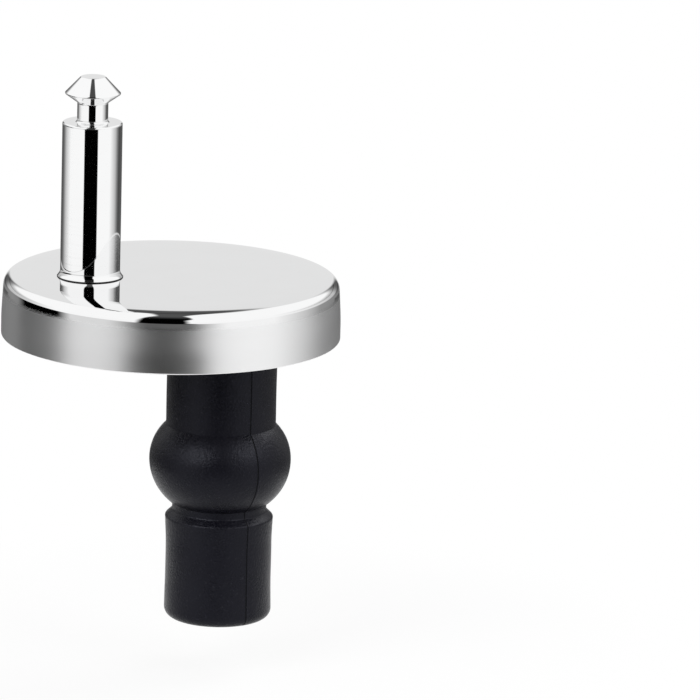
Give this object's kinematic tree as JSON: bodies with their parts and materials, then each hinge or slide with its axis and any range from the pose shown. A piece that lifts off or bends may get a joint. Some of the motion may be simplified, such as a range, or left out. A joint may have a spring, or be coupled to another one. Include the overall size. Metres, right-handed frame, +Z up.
{
  "type": "toilet seat hinge",
  "caption": "Top-fixed toilet seat hinge: round chrome cover with an upright latch post off its centre, over an expanding rubber plug that a hidden screw clamps in the pan.",
  "frame": {"origin": "on the plug's axis at the pan's surface", "axes": "+Z up along the plug and the post, the post stands at -X from the plug"},
  "size_m": [0.0551, 0.055, 0.0906],
  "materials": {
    "chrome": "polished",
    "steel": "zinc plated",
    "nylon": "moulded",
    "rubber": "satin",
    "brass": "turned"
  },
  "bodies": {
    "plug": {"rubber_plug": "rubber"},
    "screw": {"clamp_screw": "steel"},
    "nut": {"plug_nut": "brass"},
    "swivel": {"slot_washer": "steel"},
    "base": {"mounting_base": "nylon", "base_gasket": "rubber"},
    "cover": {"cover_cap": "chrome", "hinge_post": "chrome", "post_washer": "steel", "post_screw": "steel"}
  },
  "joints": [
    {"name": "screw_turn", "type": "hinge", "parent": "plug", "child": "screw", "pos_m": [0, 0, 0], "axis": [0, 0, 1], "range_deg": [0, 2880]},
    {"name": "nut_travel", "type": "slide", "parent": "plug", "child": "nut", "axis": [0, 0, 1], "range_m": [-0.008, 0], "deforming": ["rubber_plug"]},
    {"name": "base_swivel", "type": "hinge", "parent": "plug", "child": "swivel", "pos_m": [0, 0, 0.005], "axis": [0, 0, 1], "continuous": true},
    {"name": "base_slide", "type": "slide", "parent": "swivel", "child": "base", "axis": [1, 0, 0], "range_m": [-0.0035, 0.0055]},
    {"name": "cover_lift", "type": "slide", "parent": "base", "child": "cover", "axis": [0, 0, 1], "range_m": [0, 0.014]}
  ],
  "couplings": [
    {"joint": "screw_turn", "follows": "nut_travel", "rad_per_m": -6283}
  ]
}
